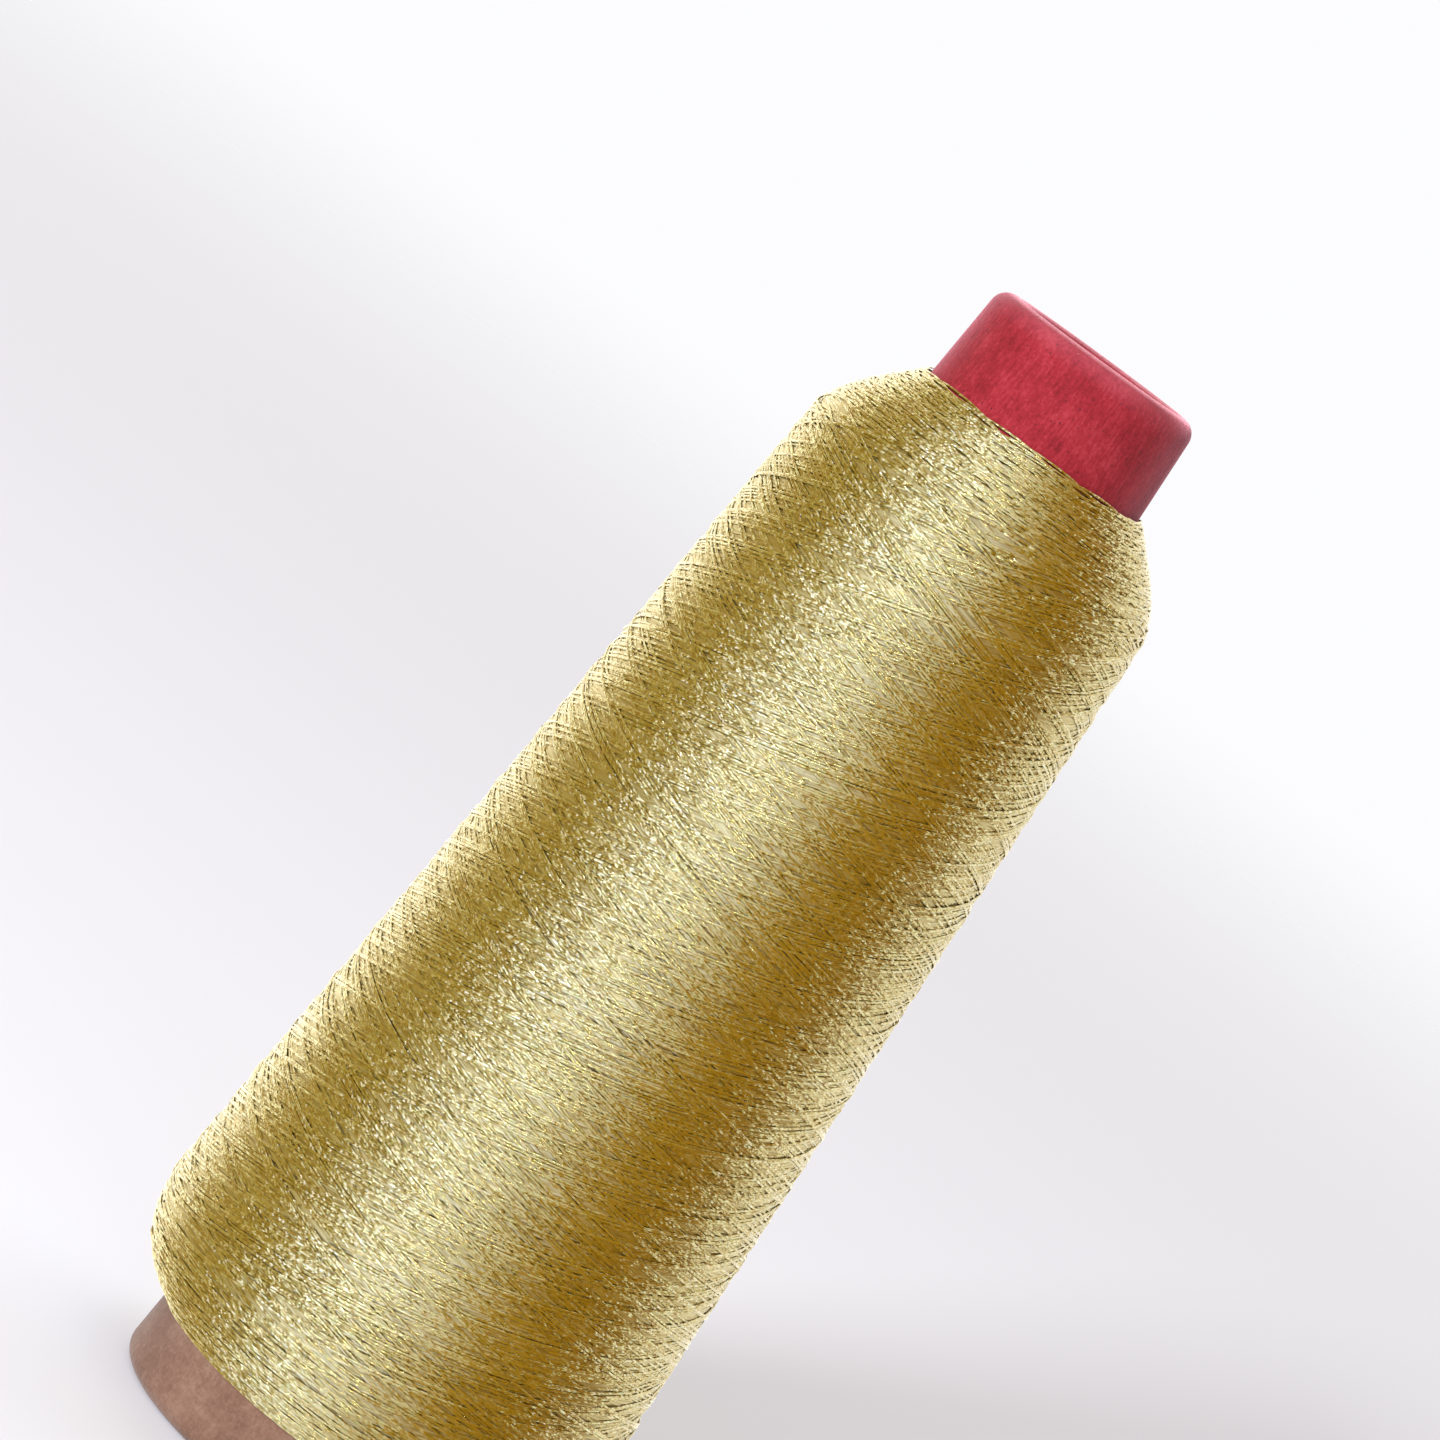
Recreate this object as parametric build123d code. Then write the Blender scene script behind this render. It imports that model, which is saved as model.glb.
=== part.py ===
from build123d import *
import math
import os

# Cone of wound thread. Millimetres, +Z up, origin on the axis at the base rim.
# Every piece is spun from a flat section whose x is the radius and y the height.

# Paper cone
LENGTH = 170.0            # base rim to nose rim
HALF_ANGLE = 3.5          # taper of the wall, degrees
NOSE_R = 14.65            # outside of the cone at the nose
WALL = 2.0                # all the plies together
PLY = 0.4                 # thickness of the wrap, the nose cover and the inner ply

# Turned-in rims
BORE_R = 10.8             # inside of the nose rim
NOSE_RIM_DEPTH = 7.0      # nose rim down to the end of its straight wall
NOSE_RIM_OUT = 2.2        # rounding on the outside of the nose rim
NOSE_RIM_IN = 1.5         # rounding on the inside of the nose rim
BASE_BORE_R = 21.5        # inside of the base rim
BASE_RIM_DEPTH = 5.0      # base rim up to the end of its straight wall
BASE_RIM_OUT = 2.0        # rounding on the outside of the base rim
BASE_RIM_IN = 1.0         # rounding on the inside of the base rim
RIM_RUN_OUT = 2.5         # height over which a rim blends back into the wall

# Where the plies meet
COVER_BOTTOM = 148.0      # lower edge of the nose cover, under the thread
COVER_TAIL = 159.0        # end of the nose cover inside the cone
WRAP_TAIL = 9.0           # end of the turned-in wrap inside the cone

# Wound thread
WOUND_BOTTOM = 9.3        # lowest turn on the cone
WOUND_TOP = 157.1         # highest turn on the cone
TURN = 0.3                # one thread's width, where the winding meets the cone
LOW_SHOULDER = [(28.8, 12.2), (31.7, 16.3), (32.7, 21.0)]
BODY_BOTTOM = (32.5, 27.0)
BODY_TOP = (24.9, 143.0)
TOP_SHOULDER = [(24.2, 147.0), (22.5, 149.9), (19.4, 153.4)]

SLOPE = math.tan(math.radians(HALF_ANGLE))


def wall_r(z, depth=0.0):
    """Radius at height z, at a depth below the outside of the paper cone."""
    return NOSE_R + (LENGTH - z) * SLOPE - depth


def flat(corners):
    """Flat face through the given radius and height pairs."""
    return make_face(Polyline(*corners, close=True))


def spin(section):
    return revolve(Plane.XZ * section, axis=Axis.Z, revolution_arc=360)


def wall_section():
    """Whole wall of the paper cone with both rims turned in."""
    nose_blend = LENGTH - NOSE_RIM_DEPTH - RIM_RUN_OUT
    base_blend = BASE_RIM_DEPTH + RIM_RUN_OUT
    rims = {
        (wall_r(0), 0): BASE_RIM_OUT,
        (NOSE_R, LENGTH): NOSE_RIM_OUT,
        (BORE_R, LENGTH): NOSE_RIM_IN,
        (BASE_BORE_R, 0): BASE_RIM_IN,
    }
    section = flat([
        (wall_r(0), 0),
        (NOSE_R, LENGTH),
        (BORE_R, LENGTH),
        (BORE_R, LENGTH - NOSE_RIM_DEPTH),
        (wall_r(nose_blend, WALL), nose_blend),
        (wall_r(base_blend, WALL), base_blend),
        (BASE_BORE_R, BASE_RIM_DEPTH),
        (BASE_BORE_R, 0),
    ])
    for corner, rounding in rims.items():
        section = fillet(section.vertices().sort_by_distance(corner)[0], rounding)
    return section


def skin_regions():
    """Parts of the section that belong to the nose cover, the wrap and the inner ply."""
    far = 2 * wall_r(0)
    below = -WALL
    above = LENGTH + WALL
    middle = WALL / 2
    join = (wall_r(COVER_BOTTOM, middle), COVER_BOTTOM)
    nose_tail = (wall_r(COVER_TAIL, middle), COVER_TAIL)
    wrap_tail = (wall_r(WRAP_TAIL, middle), WRAP_TAIL)
    nose = flat([join, (far, COVER_BOTTOM), (far, above), (0, above), (0, COVER_TAIL), nose_tail])
    wrap = flat([join, (far, COVER_BOTTOM), (far, below), (0, below), (0, WRAP_TAIL), wrap_tail])
    inner = flat([nose_tail, (0, COVER_TAIL), (0, WRAP_TAIL), wrap_tail])
    return nose, wrap, inner


def wound_section():
    """Wound body: it sits on the cone and swells to a shoulder at each end."""
    low_cone = (wall_r(WOUND_BOTTOM), WOUND_BOTTOM)
    top_cone = (wall_r(WOUND_TOP), WOUND_TOP)
    low_edge = (wall_r(WOUND_BOTTOM, -TURN), WOUND_BOTTOM)
    top_edge = (wall_r(WOUND_TOP, -TURN), WOUND_TOP)
    up_body = (BODY_TOP[0] - BODY_BOTTOM[0], BODY_TOP[1] - BODY_BOTTOM[1])
    outline = [
        Line(top_cone, low_cone),
        Line(low_cone, low_edge),
        Spline(low_edge, *LOW_SHOULDER, BODY_BOTTOM, tangents=[(3, 2), up_body]),
        Line(BODY_BOTTOM, BODY_TOP),
        Spline(BODY_TOP, *TOP_SHOULDER, top_edge, tangents=[up_body, (-1, 1)]),
        Line(top_edge, top_cone),
    ]
    return make_face([edge for line in outline for edge in line.edges()])


def build():
    wall = wall_section()
    board = offset(wall, amount=-PLY, kind=Kind.INTERSECTION)
    skin = wall - board
    nose, wrap, inner = skin_regions()
    return {
        "board_cone": spin(board),
        "inner_ply": spin(skin & inner),
        "kraft_wrap": spin(skin & wrap),
        "nose_cover": spin(skin & nose),
        "thread_package": spin(wound_section()),
    }


os.makedirs("parts", exist_ok=True)
for name, shape in build().items():
    shape.label = name
    export_step(shape, f"parts/{name}.step")
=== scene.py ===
import math

import bpy
import numpy as np
from mathutils import Matrix, Vector

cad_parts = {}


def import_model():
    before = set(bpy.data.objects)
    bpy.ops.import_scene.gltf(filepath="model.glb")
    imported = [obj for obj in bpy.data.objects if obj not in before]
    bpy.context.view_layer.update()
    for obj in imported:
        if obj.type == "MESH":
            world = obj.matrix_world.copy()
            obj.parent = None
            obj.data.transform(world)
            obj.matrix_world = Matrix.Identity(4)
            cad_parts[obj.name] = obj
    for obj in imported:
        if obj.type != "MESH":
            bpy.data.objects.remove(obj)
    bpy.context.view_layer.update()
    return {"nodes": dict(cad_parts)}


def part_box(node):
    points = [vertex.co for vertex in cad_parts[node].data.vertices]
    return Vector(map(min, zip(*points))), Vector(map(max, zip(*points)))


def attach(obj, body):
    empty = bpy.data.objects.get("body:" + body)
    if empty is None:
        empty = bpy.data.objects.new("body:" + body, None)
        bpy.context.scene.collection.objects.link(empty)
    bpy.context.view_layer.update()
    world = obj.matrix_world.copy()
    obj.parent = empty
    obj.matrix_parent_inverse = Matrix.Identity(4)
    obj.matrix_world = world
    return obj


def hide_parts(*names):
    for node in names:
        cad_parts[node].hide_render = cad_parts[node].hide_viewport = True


MM = 0.001

# How the CAD shapes are read, in millimetres
SAME = 0.01                # vertices closer than this share a height or a radius
OFF_CONE = 0.1             # wound vertices further than this from the cone are on the outside
OUTLINE_CELLS = 9          # cells over which the wound outline is smoothed

# Thread, in millimetres
THREAD_WIDTH = 0.36
THREAD_HEIGHT = 0.12
THREAD_FLAT = 0.15         # width of the flat on top of a thread
SECTION = [                # corners of the thread's cross-section: across, outward
    (-THREAD_FLAT / 2, THREAD_HEIGHT / 2),
    (THREAD_FLAT / 2, THREAD_HEIGHT / 2),
    (THREAD_WIDTH / 2, -THREAD_HEIGHT / 2),
    (-THREAD_WIDTH / 2, -THREAD_HEIGHT / 2),
]
UNDERSIDE = 2              # the face between the third and fourth corners, which stays flat
TWIST = 0.30               # how much the thread rolls from point to point, in radians
FILM_WRAP = 0.30           # length of one facet of the metal film along the thread

# How it is wound, in millimetres and turns
BODY_TOP = 146.0           # heights between which the outermost layers travel
BODY_BOTTOM = 22.0
CYCLES = 470               # there-and-back passes that make the visible layers
TURNS = 6.0                # turns in a there-and-back pass
RIBBON = (3, 9)            # fewest threads side by side in a ribbon, and one more than the most
SPACING = 0.0072           # turns between neighbours in a ribbon
TURN_ROUND = 11.0          # length over which a thread turns back at an end
FIRST_TURN = 0.2           # from the package's edge to the outermost turning point
OVERLAP = 5.0              # how far the end slopes run on under the body's layers
END_SPREAD = 4.0           # how far the body's turning points scatter
END_LAYERS = 3.3           # layers of turning points on the slopes at the ends
END_VISIBLE = 30.0         # length of thread that shows at each of those turning points
END_REACH = 26.0           # least length of thread laid to each side of a turning point
END_MORE = 10.0            # and the most that chance adds to it
END_DRIFT = 0.12           # how far one of them strays along the package
END_WAVE = 0.05            # and how far it waves to and fro
SLOW_WAVE = 0.22           # slow drift of a thread from its path on the body
QUICK_WAVE = 0.10          # and the quicker one on top of it
ANY_PHASE = 6.28           # a whole turn, for waves that start anywhere
EDGE = 0.15                # nearest that a thread's middle comes to the package's edge
MEAN_RADIUS = 28.0         # of the wound body
GOLDEN = 0.6180339887      # share of a turn between ribbons, which spreads them evenly
SEED = 7

# How it is worked out and drawn, in millimetres
SAMPLE = 0.3               # step used to lay the thread down
CELL = 0.25                # height map resolution
CELLS_AROUND = 800         # and its cells in one turn round the axis
POINT_EVERY = 4            # samples between two points of the thread's mesh
SHORTEST = 6               # samples in the shortest run that is drawn
TUCKED_IN = 4              # samples by which a run goes on under the threads that cover it
NEAR_BLUR = 4              # cells over which the local surface is averaged
FAR_BLUR = 14              # and the broad one
BURIED = 1.3               # thread heights on top of a thread that hide it
SPAN = 11                  # samples over which a thread lies straight
SETTLE = 5                 # samples over which its height is evened out
TAUT = 0.4                 # how far a thread spans a gap instead of dipping into it
BEDDING = 0.4              # share of a thread's height that it can sink into the one below
SHOULDER = 0.5             # share of a thread's height by which its edges lie below its middle
DEEPEST = 0.42             # how far below the others a thread is still drawn
HIGHEST = 0.3              # how far above the others a thread may stand
FLATTEN = 0.7              # how much of its height a turn keeps once the winding presses it down
UNEVEN = 0.12              # share of the map's broad unevenness that the surface keeps
MOST_UNEVEN = 0.08         # and the most that it lifts or lowers the surface
CORE_DEPTH = 0.20          # depth of the plain body under the visible turns
CORE_SKIN = 0.10           # thickness that the core keeps where it runs out on the cone
CORE_GAP = 0.01            # between the core and the paper cone
CORE_TRIM = 4              # map cells left off each end of the core, and between its outer rings
CORE_RINGS = 24            # rings down its inside
PIECES = 12                # meshes that share the visible turns
ROW = 260                  # segments in a row of the flat layout that the finish is baked on
ROW_FILL = 0.96            # share of a row's height that its segments take
STRAND_STEP = 0.7548776662 # spreads the strands' own numbers evenly between 0 and 1

# Plain papers by CAD node: the material's name, three tones from dark to light, and the flecks
PAPERS = {
    "kraft_wrap": (
        "brown_kraft",
        ((0.125, 0.064, 0.043), (0.165, 0.089, 0.062), (0.21, 0.126, 0.091)),
        (0.06, 0.03, 0.02),
    ),
    "board_cone": (
        "grey_board",
        ((0.13, 0.11, 0.09), (0.19, 0.16, 0.13), (0.25, 0.22, 0.18)),
        (0.06, 0.05, 0.04),
    ),
    "inner_ply": (
        "plain_kraft",
        ((0.155, 0.092, 0.055), (0.21, 0.135, 0.088), (0.27, 0.185, 0.125)),
        (0.08, 0.045, 0.027),
    ),
}

# Camera, in metres
LENS = 138.2               # focal length in millimetres, on a sensor 36 mm wide
CAMERA_PLACE = (0, -0.672, 0.1864)
CAMERA_AIM = (-0.01114, 0, 0.1069)
CAMERA_ROLL = 36.286       # degrees

# Light. The film mirrors its surroundings: these colours make the bands of light along the thread.
STUDIO = [                 # degrees round from the camera's side, and the studio's colour there
    (-180, (1.6, 1.55, 1.5)),
    (-134, (1.75, 1.72, 1.68)),
    (-116, (0.52, 0.40, 0.16)),
    (-84, (0.42, 0.30, 0.05)),
    (-58, (0.57, 0.49, 0.23)),
    (-30, (1.12, 1.20, 1.54)),
    (-8, (0.80, 0.91, 1.38)),
    (12, (0.94, 0.99, 1.17)),
    (36, (0.44, 0.28, 0.03)),
    (80, (0.34, 0.19, 0.005)),
    (100, (0.34, 0.22, 0.03)),
    (116, (1.06, 1.04, 1.01)),
    (150, (1.12, 1.09, 1.06)),
    (180, (1.6, 1.55, 1.5)),
]
BACKDROP = (0.975, 0.975, 0.992)    # what the camera sees instead of the studio
LAMP_DISTANCE = 2.2        # metres from the middle of the object
MIDDLE = (0, 0, 0.09)      # the point that the lamps face


def new_object(name, data):
    """New object in the scene, from a mesh, a lamp or a camera."""
    obj = bpy.data.objects.new(name, data)
    bpy.context.scene.collection.objects.link(obj)
    return obj


# ---------------------------------------------------------------- outline

def radius_and_height(node):
    """Radius and height of every vertex of a turned part, in millimetres."""
    mesh = node.data
    points = np.empty(len(mesh.vertices) * 3)
    mesh.vertices.foreach_get("co", points)
    points = points.reshape(-1, 3) / MM
    return np.hypot(points[:, 0], points[:, 1]), points[:, 2]


def cone_radius(node):
    """Outside radius of the paper cone at a height, from the straight part of its wrap."""
    r, z = radius_and_height(node)
    top = z.max()
    widest = r.max()
    z_widest = z[r > widest - SAME].max()
    slope = (r[z > top - SAME].max() - widest) / (top - z_widest)
    return lambda height: widest + slope * (height - z_widest)


def wound_outline(node, cone_r):
    """Radius and height along the wound body's outside, bottom to top."""
    r, z = radius_and_height(node)
    outside = r > cone_r(z) + OFF_CONE
    r, z = r[outside], np.round(z[outside], 2)
    levels = np.unique(z)
    return np.array([r[z == level].max() for level in levels]), levels


class Surface:
    """The wound outside as a function of s, the distance along its outline from the top edge."""

    def __init__(self, radius, height):
        step = np.hypot(np.diff(radius), np.diff(height))
        s = np.concatenate([[0], np.cumsum(step)])
        self.length = s[-1]
        self.s = np.arange(0, self.length, CELL)
        self.r = smooth(np.interp(self.length - self.s, s, radius), OUTLINE_CELLS)
        self.z = smooth(np.interp(self.length - self.s, s, height), OUTLINE_CELLS)
        dr = smooth(np.gradient(self.r), OUTLINE_CELLS)
        dz = smooth(np.gradient(self.z), OUTLINE_CELLS)
        size = np.hypot(dr, dz)
        self.nr = -dz / size
        self.nz = dr / size

    def at(self, s, values):
        return np.interp(s, self.s, values)

    def s_of_height(self, z):
        return float(np.interp(-z, -self.z, self.s))


# ---------------------------------------------------------------- winding

def smooth(values, width):
    kernel = np.hanning(width + 2)[1:-1]
    kernel /= kernel.sum()
    return np.convolve(np.pad(values, width // 2, mode="edge"), kernel, mode="valid")


def blur(values, reach):
    """Gaussian blur of a height map that closes on itself around the axis."""
    pad = 4 * reach
    wide = np.pad(values, ((0, 0), (pad, pad)), mode="edge")
    wave_i = np.fft.fftfreq(wide.shape[0])[:, None]
    wave_j = np.fft.rfftfreq(wide.shape[1])[None, :]
    gain = np.exp(-2 * (math.pi * reach) ** 2 * (wave_i ** 2 + wave_j ** 2))
    return np.fft.irfft2(np.fft.rfft2(wide) * gain, s=wide.shape)[:, pad:-pad]


def running_max(values, reach):
    best = values.copy()
    for k in range(1, reach + 1):
        best[k:] = np.maximum(best[k:], values[:-k])
        best[:-k] = np.maximum(best[:-k], values[k:])
    return best


def rounded(distance, soft):
    """Distance from a corner that is rounded off over a soft stretch."""
    return np.where(distance < soft, (distance ** 2 / soft + soft) / 2, distance)


class Winding:
    """Lays threads one after another on a height map, so each rests on those before it."""

    def __init__(self, surface):
        self.surface = surface
        self.map = np.zeros((CELLS_AROUND, len(surface.s)))
        self.threads = []

    def cells(self, theta, s):
        i = np.floor(theta / (2 * math.pi) * CELLS_AROUND).astype(int) % CELLS_AROUND
        j = np.clip(np.round(s / CELL).astype(int), 1, len(self.surface.s) - 2)
        return i, j

    def lay(self, theta, s):
        """Lay one thread: it dips part of the way into gaps and spans the rest of them."""
        s = np.clip(s, EDGE, self.surface.length - EDGE)
        i, j = self.cells(theta, s)
        beside = 0.5 * (self.map[i, j - 1] + self.map[i, j + 1])
        below = np.maximum(self.map[i, j], beside)
        taut = smooth(running_max(below, 2), SPAN)
        slack = smooth(below, SPAN)
        rest = np.maximum(TAUT * taut + (1 - TAUT) * slack, below - BEDDING * THREAD_HEIGHT)
        top = smooth(rest, SETTLE) + THREAD_HEIGHT
        np.maximum.at(self.map, (i, j), top)
        np.maximum.at(self.map, (i, j - 1), top - SHOULDER * THREAD_HEIGHT)
        np.maximum.at(self.map, (i, j + 1), top - SHOULDER * THREAD_HEIGHT)
        self.threads.append((theta, s, top))


def lay_end_slope(winding, s_edge, s_stop, random):
    """Turning points of the inner layers, which make the slope at one end of the package."""
    surface = winding.surface
    inward = 1 if s_stop > s_edge else -1
    pitch = surface.length / TURNS * 2
    depth = abs(s_stop - s_edge)
    position = 0.0
    count = 0
    while position < depth:
        s_end = s_edge + inward * position
        r = float(surface.at(s_end, surface.r))
        reach = END_REACH + END_MORE * random.random()
        x = np.arange(-reach, reach, SAMPLE)
        rise = pitch / (2 * math.pi * r)
        far = np.abs(x)
        turning = rise * far ** 2 / (2 * TURN_ROUND)
        travelling = rise * (far - TURN_ROUND / 2)
        back = np.where(far < TURN_ROUND, turning, travelling)
        start = (count * GOLDEN + 0.03 * random.random()) * 2 * math.pi
        s = s_end + inward * back * (0.7 + 0.5 * random.random())
        s = s + END_DRIFT * random.standard_normal()
        s = s + END_WAVE * np.sin(x / 5.0 + ANY_PHASE * random.random())
        winding.lay(start + x / r, s)
        position += THREAD_WIDTH * END_VISIBLE / (2 * math.pi * r) / END_LAYERS
        count += 1


def there_and_back(t, whole):
    """How far down the package a pass is at each angle: 0 at its two ends, 1 where it turns back."""
    soft = TURN_ROUND / MEAN_RADIUS
    fold = whole / 2 - rounded(np.abs(t - whole / 2), soft)
    near = rounded(fold, soft)
    path = (near - near.min()) / (near.max() - near.min())
    return 1.1 * path - 0.1 * path ** 2


def wander(t, random):
    """Slow drift of a thread to one side and the other."""
    drift = SLOW_WAVE * np.sin(t * (0.6 + 0.8 * random.random()) + ANY_PHASE * random.random())
    drift += QUICK_WAVE * np.sin(t * (2.0 + 2.0 * random.random()) + ANY_PHASE * random.random())
    return drift


def lay_body(winding, s_top, s_bottom, random):
    """There-and-back passes over the whole body, in ribbons of threads that lie side by side."""
    theta0 = 0.0
    left_in_ribbon = 0
    top = s_top
    ribbon = 0
    for _ in range(CYCLES):
        turns = TURNS + SPACING * (0.75 + 0.5 * random.random())
        if left_in_ribbon == 0:
            left_in_ribbon = int(random.integers(*RIBBON))
            ribbon += 1
            turns = TURNS + (ribbon * GOLDEN - theta0 / (2 * math.pi) + 0.5) % 1.0 - 0.5
        left_in_ribbon -= 1
        whole = 2 * math.pi * turns
        t = np.arange(0, whole, SAMPLE / MEAN_RADIUS)
        bottom = s_bottom + END_SPREAD * random.triangular(-1.3, -0.3, 0.7)
        next_top = s_top + END_SPREAD * random.triangular(-0.7, 0.3, 1.3)
        path = there_and_back(t, whole)
        start = np.where(t < whole / 2, top, next_top)
        s = start + (bottom - start) * path + wander(t, random) * np.sin(math.pi * path)
        winding.lay(theta0 + t, s)
        theta0 += whole
        top = next_top


def shown_runs(winding):
    """Thread pieces that aren't buried, as runs of points with their offset from the outline."""
    final = winding.map
    local = blur(final, NEAR_BLUR)
    broad = blur(final, FAR_BLUR)
    broad = np.clip(UNEVEN * (broad - broad.mean(axis=0)), -MOST_UNEVEN, MOST_UNEVEN)
    runs = []
    for number, (theta, s, top) in enumerate(winding.threads):
        i, j = winding.cells(theta, s)
        cover = np.minimum(np.minimum(final[i, j], final[i, j - 1]), final[i, j + 1]) - top
        below = local[i, j] - top
        seen = (cover < BURIED * THREAD_HEIGHT) & (below < DEEPEST)
        grown = seen.copy()
        for k in range(1, TUCKED_IN + 1):
            grown[k:] |= seen[:-k]
            grown[:-k] |= seen[k:]
        edges = np.flatnonzero(np.diff(np.concatenate([[0], grown.astype(int), [0]])))
        for a, b in zip(edges[::2], edges[1::2]):
            if b - a < SHORTEST:
                continue
            pick = np.arange(a, b, POINT_EVERY)
            if pick[-1] != b - 1:
                pick = np.append(pick, b - 1)
            offset = FLATTEN * np.clip(-below[pick], -DEEPEST, HIGHEST)
            offset = offset - THREAD_HEIGHT / 2 + broad[i[pick], j[pick]]
            # How deep the run lies under its neighbours; the gold uses it for painted shade
            deep = np.clip(below[pick] / DEEPEST, 0, 1)
            runs.append((number, a * SAMPLE, theta[pick], s[pick], offset, deep))
    return runs


# ---------------------------------------------------------------- thread mesh

def thread_rings(theta, s, offset, surface, cone_r, random):
    """The four corners of the thread at each point of a run, and the distance along it."""
    r = surface.at(s, surface.r)
    z = surface.at(s, surface.z)
    nr = surface.at(s, surface.nr)
    nz = surface.at(s, surface.nz)
    radius = np.maximum(r + nr * offset, cone_r(z) + 0.5 * THREAD_HEIGHT)
    height = z + nz * offset
    centre = np.stack([radius * np.sin(theta), -radius * np.cos(theta), height], 1)
    out = np.stack([nr * np.sin(theta), -nr * np.cos(theta), nz], 1)
    along = np.gradient(centre, axis=0)
    along /= np.linalg.norm(along, axis=1)[:, None]
    side = np.cross(along, out)
    side /= np.linalg.norm(side, axis=1)[:, None]
    out = np.cross(side, along)
    twist = TWIST * random.standard_normal(len(theta))[:, None]
    across = side * np.cos(twist) + out * np.sin(twist)
    outward = out * np.cos(twist) - side * np.sin(twist)
    ring = np.stack([centre + a * across + b * outward for a, b in SECTION], 1)
    step = np.linalg.norm(np.diff(centre, axis=0), axis=1)
    return ring, np.concatenate([[0], np.cumsum(step)])


def grid_corners(u0, u1, v0, v1):
    """The four corners of each face in a layout, in the order of the face's vertices."""
    v0 = np.broadcast_to(v0, u0.shape)
    v1 = np.broadcast_to(v1, u0.shape)
    return np.stack([np.stack(pair, 1) for pair in ((u0, v0), (u0, v1), (u1, v1), (u1, v0))], 1)


def tubes(runs, surface, cone_r, name, random):
    """One mesh of four-sided tubes with closed ends that follow the runs."""
    sides = len(SECTION)
    verts, faces, caps, along_uv, cap_uv, strand, depth = [], [], [], [], [], [], []
    base = 0
    for number, start, theta, s, offset, deep in runs:
        ring, length = thread_rings(theta, s, offset, surface, cone_r, random)
        n = len(theta)
        first = base + sides * np.arange(n - 1)
        beyond = first + sides
        near, far = start + length[:-1], start + length[1:]
        quads = []
        layout = []
        for k in range(sides):
            after = (k + 1) % sides
            quads.append(np.stack([first + k, first + after, beyond + after, beyond + k], 1))
            layout.append(grid_corners(near, far, k / sides, (k + 1) / sides))
        verts.append(ring.reshape(-1, 3))
        faces.append(np.stack(quads, 1).reshape(-1, 4))
        along_uv.append(np.stack(layout, 1).reshape(-1, 2))
        corners = np.arange(sides)
        caps.append([base + corners[::-1], base + sides * (n - 1) + corners])
        cap_uv.append(np.full((2 * sides, 2), start))
        strand.append(np.full(sides * n, (number * STRAND_STEP) % 1.0))
        depth.append(np.repeat(deep, sides))
        base += sides * n
    verts = np.concatenate(verts) * MM
    side_count = sum(len(quads) for quads in faces)
    faces = np.concatenate(faces + caps)
    smooth_face = np.arange(len(faces)) % sides != UNDERSIDE
    smooth_face[side_count:] = False
    mesh = bpy.data.meshes.new(name)
    mesh.vertices.add(len(verts))
    mesh.vertices.foreach_set("co", verts.ravel())
    mesh.loops.add(len(faces) * 4)
    mesh.loops.foreach_set("vertex_index", faces.ravel())
    mesh.polygons.add(len(faces))
    mesh.polygons.foreach_set("loop_start", np.arange(0, len(faces) * 4, 4))
    mesh.polygons.foreach_set("use_smooth", smooth_face)
    mesh.update(calc_edges=True)
    along = np.concatenate(along_uv + cap_uv)
    mesh.uv_layers.new(name="along").data.foreach_set("uv", along.ravel())
    flat = bake_layout(side_count, len(faces) - side_count, sides)
    mesh.uv_layers.new(name="OFBake").data.foreach_set("uv", flat.ravel())
    for label, values in (("strand", strand), ("depth", depth)):
        mesh.attributes.new(label, "FLOAT", "POINT").data.foreach_set("value", np.concatenate(values))
    return new_object(name, mesh)


def bake_layout(side_count, cap_count, sides):
    """Texture layout in rows: each holds a stretch of thread, and the last one the closed ends."""
    segment = np.arange(side_count) // sides
    side = np.arange(side_count) % sides
    rows = math.ceil(side_count / sides / ROW) + 1
    u = (segment % ROW) / ROW
    v = (segment // ROW + side / sides * ROW_FILL) / rows
    cap = np.arange(cap_count) / cap_count
    return np.concatenate([
        grid_corners(u, u + 1 / ROW, v, v + ROW_FILL / sides / rows),
        grid_corners(cap, cap + 1 / cap_count, 1 - 1 / rows, 1.0),
    ])


def revolve(name, profile, segments=256):
    """Solid of revolution from a closed loop of radius and height pairs, in millimetres."""
    angle = np.linspace(0, 2 * math.pi, segments, endpoint=False)
    n = len(profile)
    verts = np.stack([
        np.outer(np.sin(angle), profile[:, 0]),
        np.outer(-np.cos(angle), profile[:, 0]),
        np.outer(np.ones(segments), profile[:, 1]),
    ], 2).reshape(-1, 3) * MM
    here = np.arange(segments)[:, None] * n
    beside = (np.arange(segments)[:, None] + 1) % segments * n
    j = np.arange(n)[None, :]
    after = (j + 1) % n
    faces = np.stack([here + after, beside + after, beside + j, here + j], 2).reshape(-1, 4)
    mesh = bpy.data.meshes.new(name)
    mesh.from_pydata(verts.tolist(), [], faces.tolist())
    mesh.polygons.foreach_set("use_smooth", np.ones(len(faces), dtype=bool))
    mesh.update()
    return new_object(name, mesh)


# ---------------------------------------------------------------- materials

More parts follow.
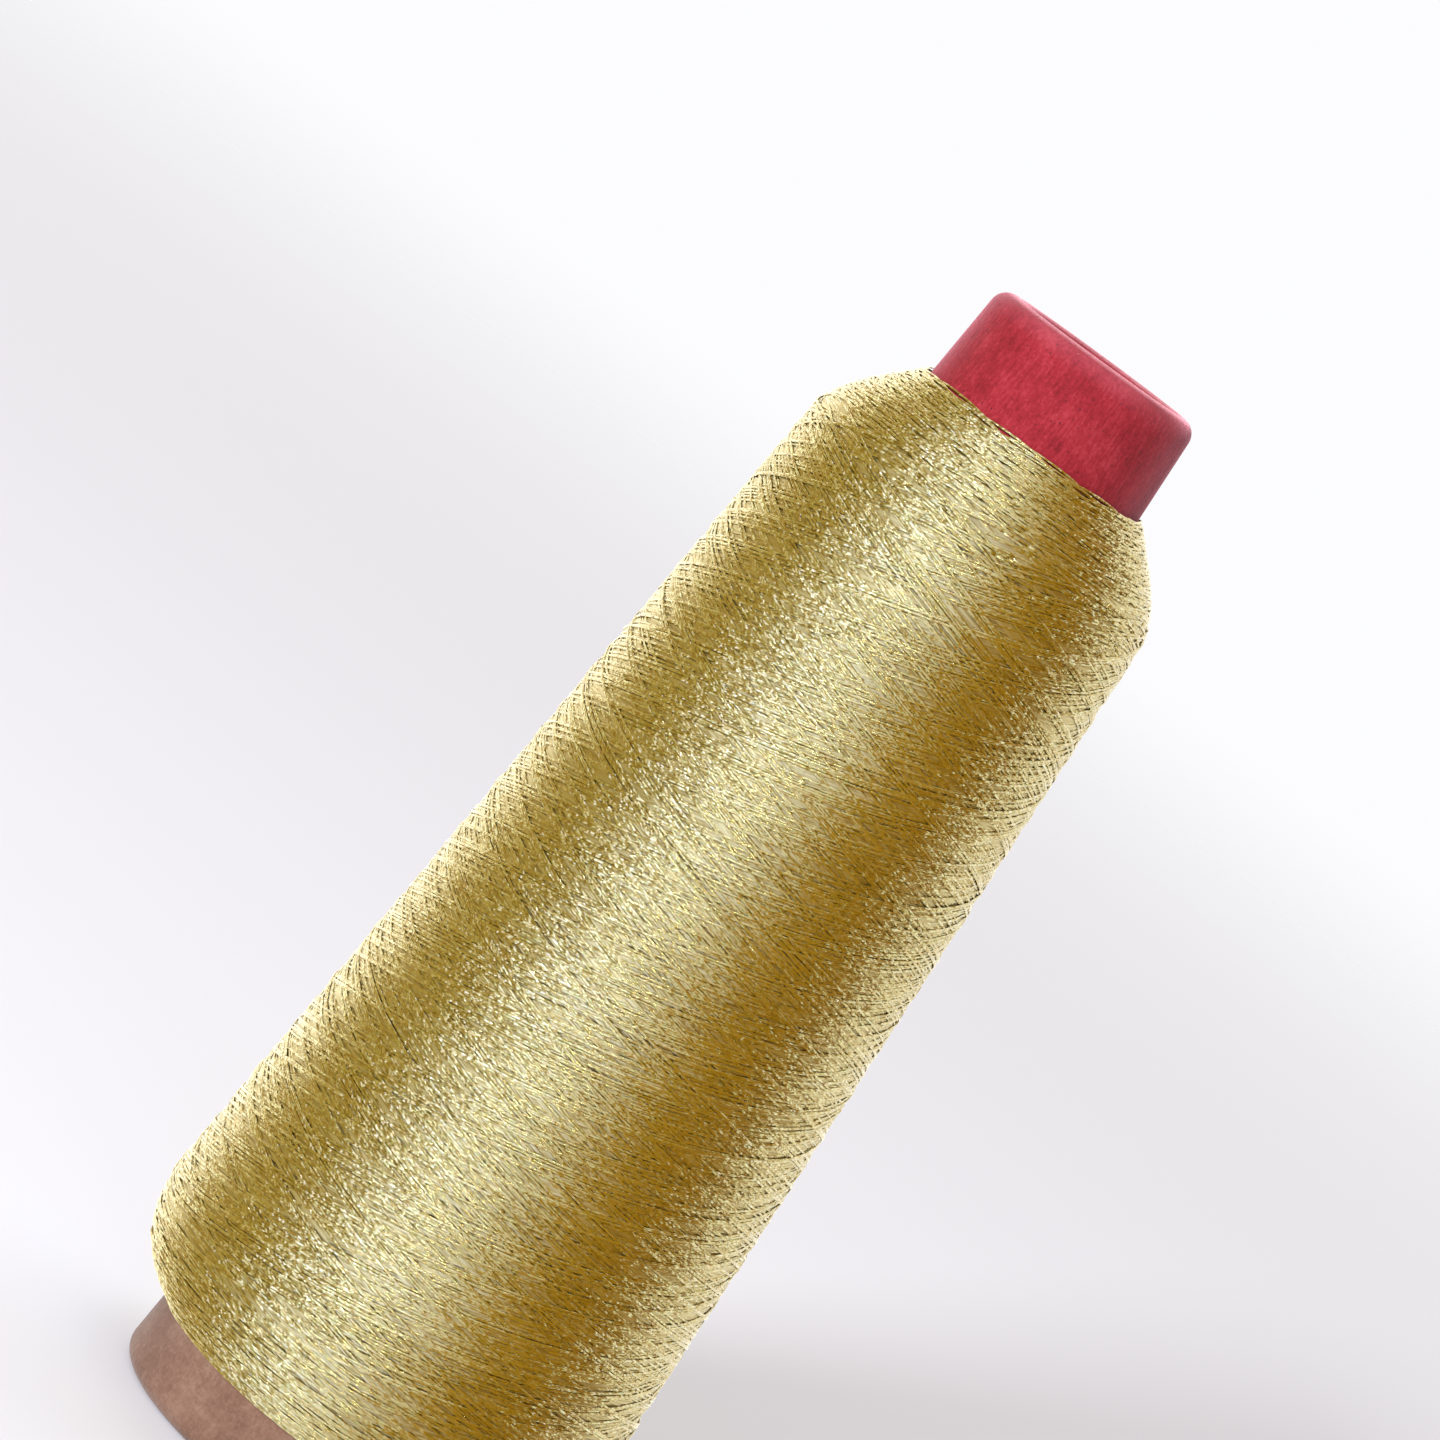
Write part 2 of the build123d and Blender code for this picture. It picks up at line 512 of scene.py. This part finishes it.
class Nodes:
    """A node tree, with short calls for the nodes used here."""

    def __init__(self, tree):
        self.tree = tree

    def add(self, kind, **values):
        node = self.tree.nodes.new(kind)
        for key, value in values.items():
            setattr(node, key, value)
        return node

    def link(self, a, b):
        self.tree.links.new(a, b)

    def plug(self, slot, value):
        """Set an input to a value, or link it to another node's output."""
        if isinstance(value, (int, float, tuple)):
            slot.default_value = value
        elif value is not None:
            self.link(value, slot)

    def math(self, operation, a, b=None, clamp=False):
        node = self.add("ShaderNodeMath", operation=operation, use_clamp=clamp)
        for slot, value in zip(node.inputs, (a, b)):
            self.plug(slot, value)
        return node.outputs[0]

    def vector(self, operation, a, b=None, scale=None):
        node = self.add("ShaderNodeVectorMath", operation=operation)
        self.plug(node.inputs[0], a)
        self.plug(node.inputs[1], b)
        if scale is not None:
            self.plug(node.inputs["Scale"], scale)
        return node.outputs[0]

    def place(self):
        """Place in the object, in metres."""
        return self.add("ShaderNodeTexCoord").outputs["Object"]

    def length(self, vector):
        node = self.add("ShaderNodeVectorMath", operation="LENGTH")
        self.link(vector, node.inputs[0])
        return node.outputs["Value"]

    def split(self, vector):
        """A vector's three parts."""
        node = self.add("ShaderNodeSeparateXYZ")
        self.link(vector, node.inputs[0])
        return node.outputs

    def remap(self, value, start, end, low=0.0, high=1.0, kind="LINEAR"):
        """Low where the value is at the start, high where it is at the end."""
        node = self.add("ShaderNodeMapRange", interpolation_type=kind)
        self.link(value, node.inputs["Value"])
        node.inputs["From Min"].default_value = start
        node.inputs["From Max"].default_value = end
        node.inputs["To Min"].default_value = low
        node.inputs["To Max"].default_value = high
        return node.outputs[0]

    def ramp(self, factor, stops, interpolation="LINEAR"):
        node = self.add("ShaderNodeValToRGB")
        ramp = node.color_ramp
        ramp.interpolation = interpolation
        while len(ramp.elements) < len(stops):
            ramp.elements.new(0.5)
        for element, (place, colour) in zip(ramp.elements, stops):
            element.position = place
            element.color = (*colour, 1)
        self.link(factor, node.inputs[0])
        return node.outputs[0]

    def noise(self, vector, scale, detail=3.0, roughness=0.5, distortion=0.0):
        node = self.add("ShaderNodeTexNoise")
        self.link(vector, node.inputs["Vector"])
        node.inputs["Scale"].default_value = scale
        node.inputs["Detail"].default_value = detail
        node.inputs["Roughness"].default_value = roughness
        node.inputs["Distortion"].default_value = distortion
        return node.outputs["Fac"]

    def mix(self, kind, factor, a, b):
        node = self.add("ShaderNodeMix", data_type="RGBA", blend_type=kind)
        self.plug(node.inputs[0], factor)
        self.plug(node.inputs[6], a)
        self.plug(node.inputs[7], b)
        return node.outputs[2]

    def bump(self, height, distance):
        node = self.add("ShaderNodeBump")
        node.inputs["Distance"].default_value = distance
        self.link(height, node.inputs["Height"])
        return node.outputs[0]


class Finish(Nodes):
    """A material and its shader."""

    def __init__(self, name):
        self.material = bpy.data.materials.new(name)
        self.material.use_nodes = True
        super().__init__(self.material.node_tree)
        self.shader = self.tree.nodes["Principled BSDF"]

    def set(self, **values):
        for key, value in values.items():
            self.shader.inputs[key.replace("_", " ")].default_value = value


def gold_thread():
    """Metallised film wound round a core thread: short facets, each tilted a little its own way, with
    painted shade on the turns that lie deeper.
    """
    n = Finish("gold_metallic_thread")
    along, across, _ = n.split(n.add("ShaderNodeUVMap", uv_map="along").outputs[0])
    strand = n.add("ShaderNodeAttribute", attribute_name="strand").outputs["Fac"]
    depth = n.add("ShaderNodeAttribute", attribute_name="depth").outputs["Fac"]
    helix = n.math("ADD", n.math("MULTIPLY", along, 1 / FILM_WRAP), across)
    facet = n.math("FLOOR", n.math("ADD", helix, n.math("MULTIPLY", strand, 37.0)))
    pick = n.add("ShaderNodeCombineXYZ")
    n.link(facet, pick.inputs[0])
    n.link(n.math("MULTIPLY", strand, 91.0), pick.inputs[1])
    noise = n.add("ShaderNodeTexWhiteNoise", noise_dimensions="2D")
    n.link(pick.outputs[0], noise.inputs["Vector"])
    wild = n.math("POWER", noise.outputs["Value"], 6.0)
    size = n.math("ADD", n.math("MULTIPLY", wild, 0.4), 0.82)
    tilt = n.vector("SUBTRACT", noise.outputs["Color"], (0.5, 0.5, 0.5))
    tilt = n.vector("SCALE", tilt, scale=size)
    outward = n.vector("NORMALIZE", n.vector("MULTIPLY", n.place(), (1.0, 1.0, 0.0)))
    normal = n.vector("ADD", n.add("ShaderNodeNewGeometry").outputs["Normal"], outward)
    n.link(n.vector("NORMALIZE", n.vector("ADD", normal, tilt)), n.shader.inputs["Normal"])
    facet_tone = n.math("MULTIPLY", noise.outputs["Value"], 0.75)
    colour = n.ramp(n.math("ADD", facet_tone, n.math("MULTIPLY", strand, 0.25)), [
        (0.0, (0.50, 0.38, 0.11)),
        (0.35, (0.69, 0.57, 0.215)),
        (0.75, (0.89, 0.81, 0.44)),
        (1.0, (1.0, 0.96, 0.71)),
    ])
    tint = n.ramp(n.split(noise.outputs["Color"])[1], [
        (0.0, (1.0, 0.90, 0.80)),
        (0.5, (1.0, 1.0, 1.0)),
        (1.0, (0.92, 1.0, 0.88)),
    ])
    colour = n.mix("MULTIPLY", 1.0, colour, tint)
    # Painted shade: turns that lie deeper among the others are darker and warmer
    shade = n.ramp(depth, [
        (0.25, (1.0, 1.0, 1.0)),
        (1.0, (0.94, 0.88, 0.72)),
    ])
    n.link(n.mix("MULTIPLY", 1.0, colour, shade), n.shader.inputs["Base Color"])
    n.set(Metallic=1.0, Roughness=0.24, Coat_Weight=0.5, Coat_Roughness=0.25)
    return n.material


def under_thread():
    """Buried turns that show between the outer ones: the same gold in fine crossing lines, with
    painted shade, darker than the outer turns and darkest between the lines.
    """
    n = Finish("thread_underneath")
    place = n.place()
    lines = []
    for tilt in (0.25, -0.25):
        turn = n.add("ShaderNodeVectorRotate", rotation_type="Y_AXIS")
        turn.inputs["Angle"].default_value = tilt
        n.link(place, turn.inputs["Vector"])
        squeeze = n.vector("MULTIPLY", turn.outputs[0], (60.0, 60.0, 2200.0))
        lines.append(n.noise(squeeze, 1.0, detail=1.0))
    height = n.math("MAXIMUM", *lines)
    n.link(n.bump(height, 0.0004), n.shader.inputs["Normal"])
    # Painted shade: the gold darker than the outer turns, and darker still in the grooves between the
    # lines
    colour = n.ramp(height, [(0.40, (0.55, 0.44, 0.17)), (0.62, (0.78, 0.69, 0.37))])
    n.link(colour, n.shader.inputs["Base Color"])
    n.set(Metallic=1.0, Roughness=0.4)
    return n.material


def specks(n, place, scale, radius, patches):
    """Round specks of one size, only where the patches' noise is high."""
    cells = n.add("ShaderNodeTexVoronoi")
    n.link(place, cells.inputs["Vector"])
    cells.inputs["Scale"].default_value = scale
    dot = n.math("LESS_THAN", cells.outputs["Distance"], radius)
    return n.math("MULTIPLY", dot, n.math("GREATER_THAN", patches, 0.5))


def red_paper(top):
    """Dyed paper pulled tight over the nose: lengthwise creases, mottling, specks, a paler band
    towards the rim and a painted highlight along the rim's crest.
    """
    n = Finish("red_paper")
    place = n.place()
    creases = n.noise(n.vector("MULTIPLY", place, (1.0, 1.0, 0.16)), 2700.0, detail=3.0)
    blotches = n.noise(place, 240.0, detail=6.0, roughness=0.7)
    grain = n.noise(place, 2400.0, detail=3.0, roughness=0.8)
    tone = n.math("ADD", n.math("MULTIPLY", creases, 0.25), n.math("MULTIPLY", blotches, 0.40))
    tone = n.math("ADD", tone, n.math("MULTIPLY", grain, 0.35))
    colour = n.ramp(tone, [
        (0.38, (0.128, 0.0085, 0.0125)),
        (0.50, (0.208, 0.0135, 0.0205)),
        (0.62, (0.280, 0.0290, 0.0390)),
    ])
    dark = n.math("ADD", specks(n, place, 560.0, 0.10, n.noise(place, 130.0, detail=0.0)),
                  specks(n, place, 950.0, 0.13, blotches), clamp=True)
    colour = n.mix("MIX", n.math("MULTIPLY", dark, 0.6), colour, (0.05, 0.008, 0.014, 1))
    pale = specks(n, place, 330.0, 0.05, n.noise(place, 170.0, detail=0.0))
    colour = n.mix("MIX", n.math("MULTIPLY", pale, 0.5), colour, (0.60, 0.28, 0.25, 1))
    # Paler towards the rim over its top 3 mm, mottled by the blotches
    drop = n.math("SUBTRACT", top, n.split(place)[2])
    rim_band = n.remap(drop, 3.0 * MM, 0.3 * MM)
    paler_rim = n.math("MULTIPLY", rim_band, n.math("ADD", n.math("MULTIPLY", blotches, 0.9), 0.1))
    colour = n.mix("MIX", n.math("MULTIPLY", paler_rim, 0.35, clamp=True), colour, (0.42, 0.13, 0.17, 1))
    # Painted highlight along the rim's crest, broken up by the grain
    crest = n.remap(drop, 0.45 * MM, 0.05 * MM, kind="SMOOTHSTEP")
    crest_grain = n.math("ADD", n.math("MULTIPLY", grain, 1.6), -0.2)
    painted_crest_highlight = n.math("MULTIPLY", crest, crest_grain, clamp=True)
    colour = n.mix("MIX", painted_crest_highlight, colour, (0.55, 0.24, 0.28, 1))
    n.link(colour, n.shader.inputs["Base Color"])
    height = n.math("ADD", n.math("MULTIPLY", creases, 0.6), n.math("MULTIPLY", grain, 0.4))
    n.link(n.bump(height, 0.00012), n.shader.inputs["Normal"])
    n.link(n.remap(blotches, 0.0, 1.0, 0.55, 0.8), n.shader.inputs["Roughness"])
    n.set(Sheen_Weight=0.55, Sheen_Roughness=0.35, Sheen_Tint=(1.0, 0.42, 0.52, 1))
    n.set(Specular_IOR_Level=0.12)
    return n.material


def plain_paper(name, tones, fleck):
    """Uncoated paper: cloudy pulp, short fibres both ways and a few dark flecks."""
    n = Finish(name)
    place = n.place()
    cloud = n.noise(place, 160.0, detail=5.0, roughness=0.62)
    flatways = n.vector("MULTIPLY", place, (0.32, 0.32, 1.0))
    upright = n.vector("MULTIPLY", place, (1.0, 1.0, 0.28))
    round_fibre = n.noise(flatways, 2000.0, detail=2.0, distortion=1.6)
    long_fibre = n.noise(upright, 1800.0, detail=2.0, distortion=1.6)
    fibre = n.math("MULTIPLY", n.math("ADD", round_fibre, long_fibre), 0.5)
    grain = n.noise(place, 1500.0, detail=4.0, roughness=0.85)
    pulp = n.math("ADD", n.math("MULTIPLY", fibre, 0.4), n.math("MULTIPLY", grain, 0.6))
    tone = n.math("ADD", n.math("MULTIPLY", cloud, 0.4), n.math("MULTIPLY", pulp, 0.6))
    colour = n.ramp(tone, list(zip((0.41, 0.50, 0.59), tones)))
    speck = n.add("ShaderNodeTexVoronoi")
    n.link(place, speck.inputs["Vector"])
    speck.inputs["Scale"].default_value = 700.0
    dot = n.math("LESS_THAN", speck.outputs["Distance"], 0.09)
    few = n.math("LESS_THAN", n.noise(place, 450.0, detail=0.0), 0.44)
    colour = n.mix("MIX", n.math("MULTIPLY", dot, n.math("MULTIPLY", few, 0.6)), colour, (*fleck, 1))
    n.link(colour, n.shader.inputs["Base Color"])
    n.link(n.bump(pulp, 0.00015), n.shader.inputs["Normal"])
    n.link(n.remap(cloud, 0.0, 1.0, 0.7, 0.95), n.shader.inputs["Roughness"])
    n.set(Sheen_Weight=0.12, Specular_IOR_Level=0.3)
    return n.material


# ---------------------------------------------------------------- stage

def camera():
    """A long lens a little above the nose, rolled so that the nose points to the upper right."""
    cam = bpy.data.cameras.new("camera")
    cam.sensor_width = 36.0
    cam.lens = LENS
    eye = Vector(CAMERA_PLACE)
    look = (Vector(CAMERA_AIM) - eye).to_track_quat("-Z", "Y").to_matrix().to_4x4()
    roll = Matrix.Rotation(math.radians(CAMERA_ROLL), 4, "Z")
    obj = new_object("camera", cam)
    obj.matrix_world = Matrix.Translation(eye) @ look @ roll
    bpy.context.scene.camera = obj


def world():
    """A studio that is white behind the object, cool beside the camera and amber to the sides."""
    studio_world = bpy.data.worlds.new("studio")
    studio_world.use_nodes = True
    bpy.context.scene.world = studio_world
    n = Nodes(studio_world.node_tree)
    n.tree.nodes.clear()
    right, away, _ = n.split(n.add("ShaderNodeTexCoord").outputs["Generated"])
    bearing = n.math("ARCTAN2", right, n.math("MULTIPLY", away, -1))
    peak = max(max(colour) for _, colour in STUDIO)
    stops = [((degrees + 180) / 360, [c / peak for c in colour]) for degrees, colour in STUDIO]
    studio = n.add("ShaderNodeBackground")
    studio.inputs["Strength"].default_value = peak
    n.link(n.ramp(n.remap(bearing, -math.pi, math.pi), stops, "EASE"), studio.inputs["Color"])
    plain = n.add("ShaderNodeBackground")
    plain.inputs["Color"].default_value = (*BACKDROP, 1)
    mix = n.add("ShaderNodeMixShader")
    n.link(n.add("ShaderNodeLightPath").outputs["Is Camera Ray"], mix.inputs[0])
    n.link(studio.outputs[0], mix.inputs[1])
    n.link(plain.outputs[0], mix.inputs[2])
    n.link(mix.outputs[0], n.add("ShaderNodeOutputWorld").inputs[0])
    bpy.context.scene.view_settings.view_transform = "Standard"


def lamp(name, azimuth, elevation, size, power):
    """A round lamp that faces the object, placed by its bearing from the camera's side."""
    light = bpy.data.lights.new(name, "AREA")
    light.shape = "DISK"
    light.size = size
    light.energy = power
    obj = new_object(name, light)
    a, e = math.radians(azimuth), math.radians(elevation)
    toward = Vector((math.sin(a) * math.cos(e), -math.cos(a) * math.cos(e), math.sin(e)))
    obj.location = Vector(MIDDLE) + toward * LAMP_DISTANCE
    obj.rotation_euler = toward.to_track_quat("Z", "Y").to_euler()
    return obj


def lamps():
    """One lamp models the paper and casts a soft shadow, the other makes the metal film sparkle."""
    key = lamp("key", azimuth=-20.0, elevation=16.0, size=0.30, power=72.0)
    key.visible_glossy = False
    sparkle = lamp("sparkle", azimuth=-14.0, elevation=8.0, size=0.20, power=5.5)
    sparkle.visible_diffuse = False


def floor():
    """A pale floor that fades into the backdrop."""
    bpy.ops.mesh.primitive_circle_add(vertices=128, radius=4, fill_type="NGON")
    obj = bpy.context.object
    obj.name = "floor"
    n = Finish("floor")
    n.set(Base_Color=(0.64, 0.65, 0.715, 1), Roughness=1.0, Specular_IOR_Level=0.0,
          Emission_Color=(0.93, 0.93, 0.965, 1), Emission_Strength=0.13)
    fade = n.add("ShaderNodeMixShader")
    n.link(n.remap(n.length(n.place()), 0.45, 2.2, kind="SMOOTHSTEP"), fade.inputs[0])
    n.link(n.shader.outputs[0], fade.inputs[1])
    n.link(n.add("ShaderNodeBsdfTransparent").outputs[0], fade.inputs[2])
    n.link(fade.outputs[0], n.tree.nodes["Material Output"].inputs["Surface"])
    obj.data.materials.append(n.material)
    obj.visible_glossy = False


# ---------------------------------------------------------------- build

def dress(node, material):
    node.data.materials.clear()
    node.data.materials.append(material)


def shared_out(runs):
    """The runs in order, in batches with about as many points each."""
    share = math.ceil(sum(len(run[2]) for run in runs) / PIECES)
    batches = [[]]
    size = 0
    for run in runs:
        if size >= share:
            batches.append([])
            size = 0
        batches[-1].append(run)
        size += len(run[2])
    return batches


def thread_core(surface, cone_r):
    """Closed ring of buried turns between the paper cone and the visible ones."""
    pick = slice(CORE_TRIM, -CORE_TRIM, CORE_TRIM)
    depth = surface.r - surface.nr * CORE_DEPTH
    radius = np.maximum(depth, cone_r(surface.z) + CORE_SKIN)[pick]
    height = (surface.z - surface.nz * CORE_DEPTH)[pick]
    inside = np.linspace(height[-1], height[0], CORE_RINGS)
    outer = np.stack([radius, height], 1)
    inner = np.stack([cone_r(inside) + CORE_GAP, inside], 1)
    return revolve("thread_core", np.concatenate([outer, inner]))


def thread_turns(surface, cone_r):
    """The package's visible turns as thread meshes."""
    random = np.random.default_rng(SEED)
    winding = Winding(surface)
    s_top = surface.s_of_height(BODY_TOP)
    s_bottom = surface.s_of_height(BODY_BOTTOM)
    lay_end_slope(winding, FIRST_TURN, s_top + OVERLAP, random)
    lay_end_slope(winding, surface.length - FIRST_TURN, s_bottom - OVERLAP, random)
    lay_body(winding, s_top, s_bottom, random)
    batches = shared_out(shown_runs(winding))
    return [
        tubes(batch, surface, cone_r, f"thread_turns_{k}", random)
        for k, batch in enumerate(batches, 1)
    ]


def main():
    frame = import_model()
    nodes = frame["nodes"]
    camera()
    world()
    lamps()
    floor()
    cone_r = cone_radius(nodes["kraft_wrap"])
    surface = Surface(*wound_outline(nodes["thread_package"], cone_r))
    turns = thread_turns(surface, cone_r)
    core = thread_core(surface, cone_r)
    gold = gold_thread()
    for piece in turns:
        dress(piece, gold)
    dress(core, under_thread())
    for piece in [*turns, core]:
        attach(piece, "root")
        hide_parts("thread_package")
    dress(nodes["nose_cover"], red_paper(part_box("nose_cover")[1][2]))
    for node, (name, tones, fleck) in PAPERS.items():
        dress(nodes[node], plain_paper(name, tones, fleck))


main()
